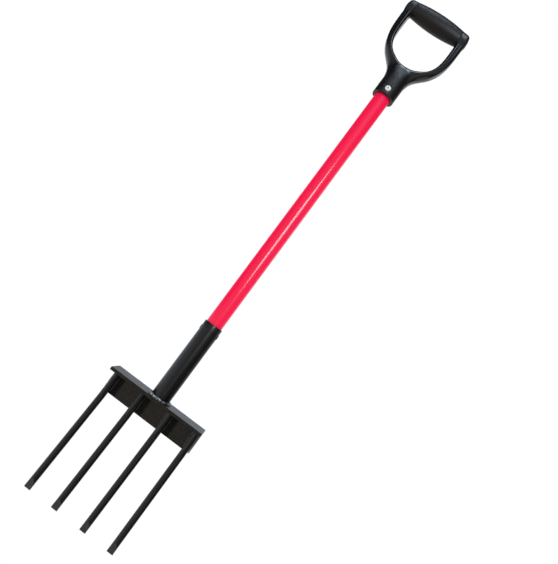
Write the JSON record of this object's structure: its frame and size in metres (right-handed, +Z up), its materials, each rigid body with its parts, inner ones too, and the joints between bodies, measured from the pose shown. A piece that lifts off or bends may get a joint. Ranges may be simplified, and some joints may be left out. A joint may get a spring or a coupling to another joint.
{
  "type": "digging fork",
  "caption": "Long digging fork: steel crossbar with round kinked tines, socket tube, fibreglass handle and a moulded D-grip with a soft sleeve.",
  "frame": {"origin": "centre of the back face of the crossbar's upright leg", "axes": "+Z up the handle towards the grip, +X to the right seen from the front, -Y is the front, the way the tines lean"},
  "size_m": [0.2, 0.0508, 1.1746],
  "materials": {
    "black_paint": "semi-gloss black paint over rolled steel",
    "tine_paint": "semi-gloss black paint over round bar",
    "weld_paint": "black paint over weld bead",
    "red_fibreglass": "glossy pigmented fibreglass",
    "plug_wood": "plain dowel",
    "yoke_plastic": "glossy black moulding",
    "sleeve_rubber": "fine-grained matte",
    "rivet_aluminium": "satin",
    "mandrel_steel": "broken stem"
  },
  "bodies": {
    "root": {"crossbar_angle": "black_paint", "tine_1": "tine_paint", "tine_1_weld_left": "weld_paint", "tine_1_weld_right": "weld_paint", "tine_2": "tine_paint", "tine_2_weld_left": "weld_paint", "tine_2_weld_right": "weld_paint", "tine_3": "tine_paint", "tine_3_weld_left": "weld_paint", "tine_3_weld_right": "weld_paint", "tine_4": "tine_paint", "tine_4_weld_left": "weld_paint", "tine_4_weld_right": "weld_paint", "socket_tube": "black_paint", "socket_weld_ring": "weld_paint", "socket_cross_rivet": "black_paint", "handle_tube": "red_fibreglass", "handle_lower_plug": "plug_wood", "handle_upper_plug": "plug_wood", "grip_yoke": "yoke_plastic", "grip_sleeve": "sleeve_rubber", "grip_rivet_body": "rivet_aluminium", "grip_rivet_mandrel": "mandrel_steel"}
  },
  "joints": []
}
